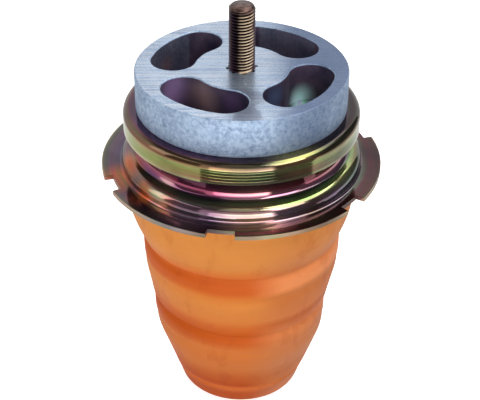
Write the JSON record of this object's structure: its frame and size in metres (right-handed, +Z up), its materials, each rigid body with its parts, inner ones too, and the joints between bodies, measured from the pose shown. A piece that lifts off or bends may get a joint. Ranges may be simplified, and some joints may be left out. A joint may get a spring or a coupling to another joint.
{
  "type": "shock absorber mount",
  "caption": "Bump-stop mount with a pocketed aluminium disc, a threaded stud, two pressed steel rings and a stacked tapering polyurethane bump stop.",
  "frame": {"origin": "centre of the disc's upper face, where the stud leaves it", "axes": "+Z up along the stud, away from the bump stop; X and Y in the disc's upper face"},
  "size_m": [0.132, 0.132, 0.211],
  "materials": {
    "cast_aluminium": "as cast, fine mottled grain, satin",
    "stud_steel": "dark bronze plating, satin",
    "passivated_steel": "zinc with iridescent yellow passivation, glossy",
    "polyurethane": "microcellular polyurethane, matt with a faint sheen"
  },
  "bodies": {
    "root": {"mounting_disc": "cast_aluminium", "stud": "stud_steel", "top_cap": "passivated_steel", "flange_ring": "passivated_steel", "bump_stop": "polyurethane"}
  },
  "joints": []
}
